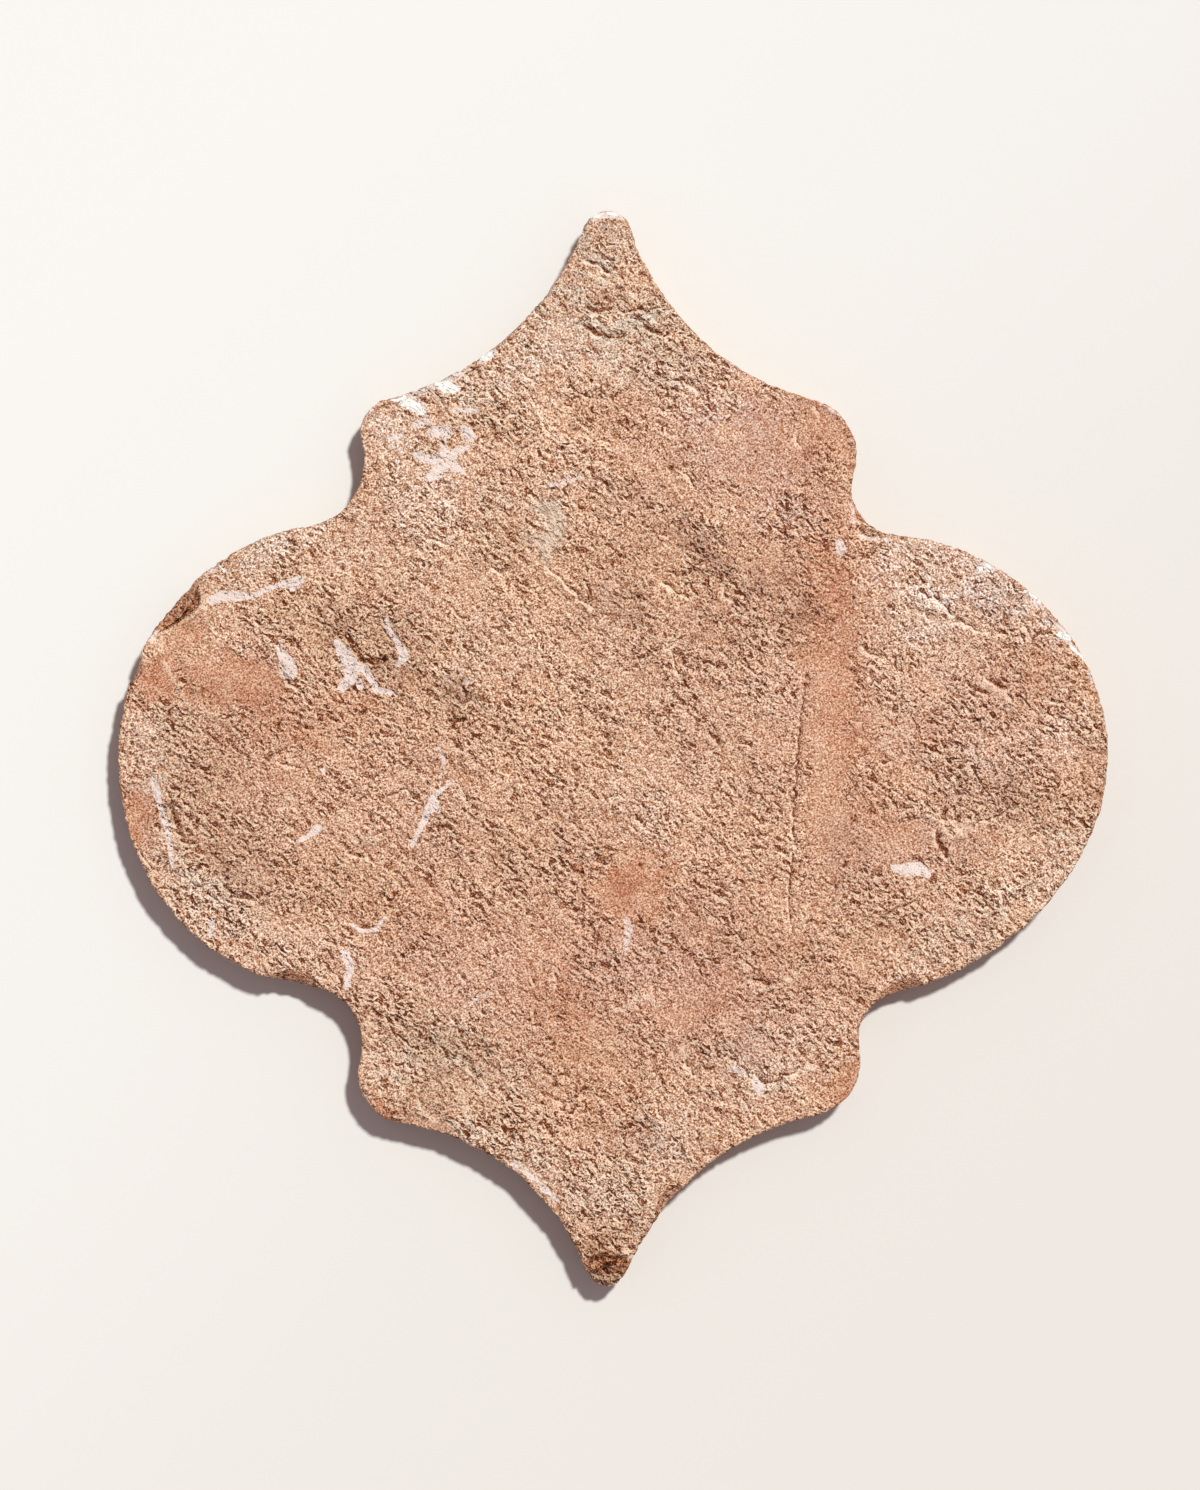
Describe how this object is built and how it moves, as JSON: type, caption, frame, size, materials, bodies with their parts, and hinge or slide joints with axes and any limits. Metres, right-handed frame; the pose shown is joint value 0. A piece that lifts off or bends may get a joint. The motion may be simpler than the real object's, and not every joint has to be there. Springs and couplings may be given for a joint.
{
  "type": "moroccan arabesque tile",
  "caption": "Hand-cut terracotta paving tile in the arabesque (lantern) outline, with two points, two round lobes, hollow necks, a worn sandy face and chipped arrises.",
  "frame": {"origin": "under the middle of the outline, on the flat back that the tile lies on", "axes": "+Z from the back to the worn face, +Y to the top point, +X to the right lobe"},
  "size_m": [0.2758, 0.2996, 0.015],
  "materials": {
    "terracotta": "unglazed, rough, sandy, worn terracotta"
  },
  "bodies": {
    "root": {"tile": "terracotta"}
  },
  "joints": []
}
